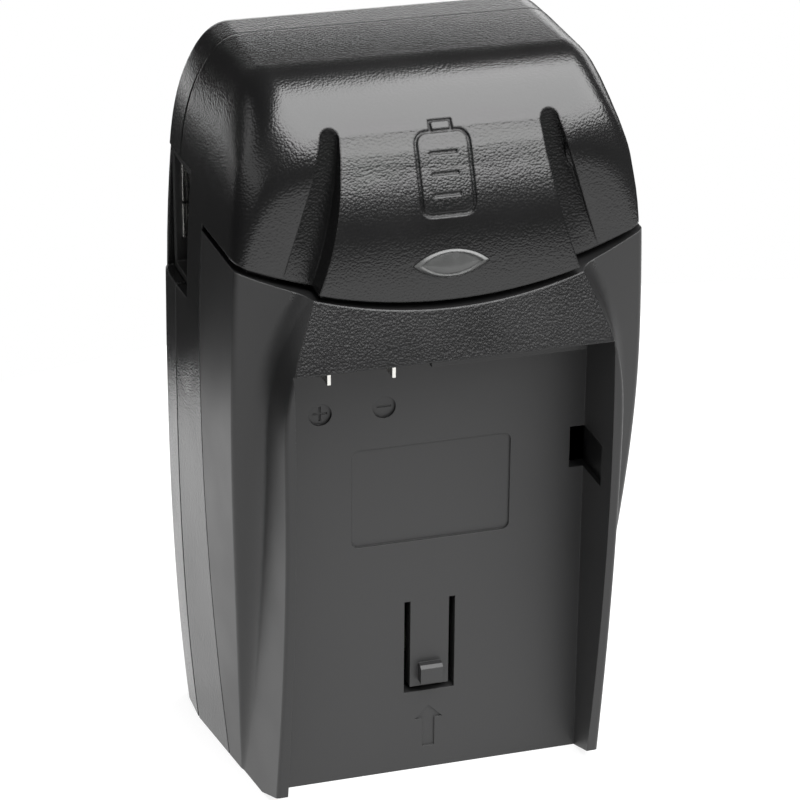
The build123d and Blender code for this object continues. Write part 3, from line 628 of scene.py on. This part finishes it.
smoke, nodes, links = new_finish("smoky_lens")
shader = nodes["Principled BSDF"]
place = nodes.new("ShaderNodeTexCoord").outputs["Object"]
haze = noise(nodes, links, place, haze_size, 3)
links.new(tone(nodes, links, haze, (0.045, 0.046, 0.045), (0.07, 0.071, 0.07)), shader.inputs["Base Color"])
links.new(spread(nodes, links, haze, 0.22, 0.3), shader.inputs["Roughness"])
relief(nodes, links, noise(nodes, links, place, ripple_size, 2), ripple_depth, lens_edge)
coat(lens, smoke)
stand_in(lens, "status_lens", "case")

# %% [markdown]
# ## Rear shell, socket and plug carrier
# The rear shell is the tray that the front shell closes. It is copied so that its edge at the seam can be
# softened like the front shell's, and the two leave a fine V along the joint. A V could be drawn as a dark
# line, but then it would catch no light. The socket, the plug carrier and its retainer are right as they
# were packed, so they keep their solids and only put on a finish.

# %% Soften the rear shell
rear_angle = 32

rear = dressed_copy("rear_shell", "rear_moulding")
soften_edges(rear, on_rear_seam, seam_edge)
smooth(rear, rear_angle)
coat(rear, case_black)
stand_in(rear, "rear_shell", "case")

# %% Put the plastics on the solids


def wear(node, finish):
    coat(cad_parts[node], finish)


wear("socket_body", socket_black)
for node in ("prong_carrier", "plug_retainer", "transformer_bobbin"):
    wear(node, carrier_black)
print("dressed the black pieces")

# %% [markdown]
# ## Plated metal
# Contacts, plug blades, springs and screws are rolled or drawn metal with a thin plating. Rolling leaves
# faint lines along the strip, so the noise is stretched along one axis with a Mapping node before it drives
# the roughness and a very shallow bump.

# %% Write the metal finish
rolled_size = 0.25 * mm
rolled_depth = 0.003 * mm
rolled_shade = 0.85
metal_edge = 0.12 * mm


def plated_metal(name, colour, roughness, stretch):
    finish, nodes, links = new_finish(name)
    shader = nodes["Principled BSDF"]
    shader.inputs["Metallic"].default_value = 1
    place = nodes.new("ShaderNodeTexCoord").outputs["Object"]
    turn = nodes.new("ShaderNodeMapping")
    turn.inputs["Scale"].default_value = stretch
    links.new(place, turn.inputs["Vector"])
    rolled = noise(nodes, links, turn.outputs["Vector"], rolled_size, 3)
    low = [rolled_shade * value for value in colour]
    links.new(tone(nodes, links, rolled, low, colour), shader.inputs["Base Color"])
    links.new(spread(nodes, links, rolled, roughness - 0.05, roughness + 0.08), shader.inputs["Roughness"])
    relief(nodes, links, rolled, rolled_depth, metal_edge)
    return finish


nickel = plated_metal("nickel_plate", (0.72, 0.71, 0.68), 0.24, stretch=(1, 1, 0.08))
bronze = plated_metal("spring_bronze", (0.72, 0.47, 0.24), 0.3, stretch=(1, 1, 0.1))
zinc = plated_metal("zinc_plate", (0.55, 0.56, 0.57), 0.34, stretch=(1, 0.3, 1))
for node in ("positive_contact", "negative_contact", "socket_contact_upper", "socket_contact_lower"):
    wear(node, nickel)
for node in ("prong_left", "prong_right"):
    wear(node, nickel)
for node in ("prong_spring_left", "prong_spring_right"):
    wear(node, bronze)
for node in ("board_screws", "retainer_screws"):
    wear(node, zinc)
print("dressed the metal pieces")

# %% [markdown]
# ## Case screws
# Four screws hold the shells together, deep in round wells in the back. Each head has a cross recess for
# the driver. The cross is a small cube with its four sides pulled out, cut into the head with a Boolean.

# %% Shape a cross
recess_depth = 1.0 * mm
recess_width = 0.8 * mm
recess_reach = 1.0 * mm


def pull_side(cross, way):
    def on_side(face):
        return face.normal.dot(Vector(way)) > straight_on and face.center.length < recess_width

    select_only(cross, cross.data.polygons, on_side, "FACE")
    reach = [recess_reach * part for part in way]
    bpy.ops.mesh.extrude_region_move(TRANSFORM_OT_translate={"value": reach})
    bpy.ops.object.mode_set(mode="OBJECT")


def cross_at(spot):
    bpy.ops.object.select_all(action="DESELECT")
    bpy.ops.mesh.primitive_cube_add(size=recess_width, location=spot)
    cross = bpy.context.object
    for way in ((1, 0, 0), (-1, 0, 0), (0, 0, 1), (0, 0, -1)):
        pull_side(cross, way)
    bpy.ops.object.mode_set(mode="EDIT")
    bpy.ops.mesh.select_all(action="SELECT")
    bpy.ops.transform.resize(value=(1, 2 * recess_depth / recess_width, 1))
    bpy.ops.object.mode_set(mode="OBJECT")
    return cross


# %% Cut the cross recesses
head_radius = 2.4 * mm
head_edge = 0.15 * mm
head_edge_angle = 1.2
screw_angle = 35

screws = dressed_copy("case_screws", "case_screw_set")
screw_low, screw_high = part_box("case_screws")
crosses = []
for x in (screw_low.x + head_radius, screw_high.x - head_radius):
    for z in (screw_low.z + head_radius, screw_high.z - head_radius):
        crosses.append(cross_at((x, screw_high.y, z)))
engrave(screws, crosses)
head_bevel = {"width": head_edge, "segments": 2, "limit_method": "ANGLE", "angle_limit": head_edge_angle}
apply_modifier(screws, "head_edge", "BEVEL", **head_bevel)
smooth(screws, screw_angle)
coat(screws, zinc)
stand_in(screws, "case_screws", "case")

# %% [markdown]
# ## Board and components
# The closed case hides the board, but the part can be opened, so each component has its usual finish: green
# solder mask with darker fields between its tracks, dull grey ferrite, yellow tape, shiny sleeves and
# lacquers. The mask could be a drawn circuit, but nobody reads it here, so a Brick pattern stands for the
# tracks.

# %% Write the solder mask
field_size = 12 * mm
track_height = 0.02 * mm
board_edge = 0.1 * mm

mask, nodes, links = new_finish("solder_mask")
shader = nodes["Principled BSDF"]
shader.inputs["Roughness"].default_value = 0.35
place = nodes.new("ShaderNodeTexCoord").outputs["Object"]
tracks = nodes.new("ShaderNodeTexBrick")
tracks.inputs["Scale"].default_value = 1 / field_size
tracks.inputs["Color1"].default_value = (0.012, 0.1, 0.035, 1)
tracks.inputs["Color2"].default_value = (0.018, 0.13, 0.045, 1)
tracks.inputs["Mortar"].default_value = (0.03, 0.2, 0.07, 1)
flat = nodes.new("ShaderNodeMapping")
flat.inputs["Rotation"].default_value = (math.pi / 2, 0, 0)
links.new(place, flat.inputs["Vector"])
links.new(flat.outputs["Vector"], tracks.inputs["Vector"])
links.new(tracks.outputs["Color"], shader.inputs["Base Color"])
relief(nodes, links, tracks.outputs["Fac"], track_height, board_edge)
wear("circuit_board", mask)
print("dressed the board")

# %% Write the finishes of the components
component_sway = 0.06
component_edge = 0.15 * mm


def component_finish(name, colour, shade, roughness, size, depth):
    finish, nodes, links = new_finish(name)
    shader = nodes["Principled BSDF"]
    place = nodes.new("ShaderNodeTexCoord").outputs["Object"]
    patches = noise(nodes, links, place, size, 3)
    links.new(tone(nodes, links, patches, shade, colour), shader.inputs["Base Color"])
    gloss = spread(nodes, links, patches, roughness - component_sway, roughness + component_sway)
    links.new(gloss, shader.inputs["Roughness"])
    relief(nodes, links, patches, depth, component_edge)
    return finish


ferrite = component_finish("dull_ferrite", (0.1, 0.1, 0.105), (0.05, 0.05, 0.053), 0.75, 0.3 * mm, 0.02 * mm)
tape = component_finish("yellow_tape", (0.8, 0.56, 0.08), (0.62, 0.4, 0.05), 0.3, 3 * mm, 0.02 * mm)
sleeve = component_finish("dark_sleeve", (0.03, 0.03, 0.05), (0.018, 0.018, 0.03), 0.28, 2 * mm, 0.01 * mm)
resin_colours = (0.028, 0.028, 0.028), (0.014, 0.014, 0.014)
resin = component_finish("black_resin", *resin_colours, 0.62, 0.2 * mm, 0.01 * mm)
green = component_finish("green_lacquer", (0.2, 0.27, 0.16), (0.13, 0.19, 0.1), 0.3, 1 * mm, 0.01 * mm)
blue = component_finish("blue_lacquer", (0.05, 0.15, 0.42), (0.03, 0.09, 0.28), 0.3, 1 * mm, 0.02 * mm)
milk = component_finish("milky_resin", (0.78, 0.8, 0.76), (0.62, 0.65, 0.6), 0.25, 1.5 * mm, 0.005 * mm)
component_finishes = {
    "transformer_core": ferrite, "input_choke": ferrite, "transformer_winding": tape,
    "mains_capacitor": sleeve, "output_capacitor": sleeve, "rectifier": resin, "control_chip": resin,
    "fuse": green, "interference_capacitor": blue, "status_led": milk,
}
for node, finish in component_finishes.items():
    wear(node, finish)
print("dressed", len(component_finishes), "components")
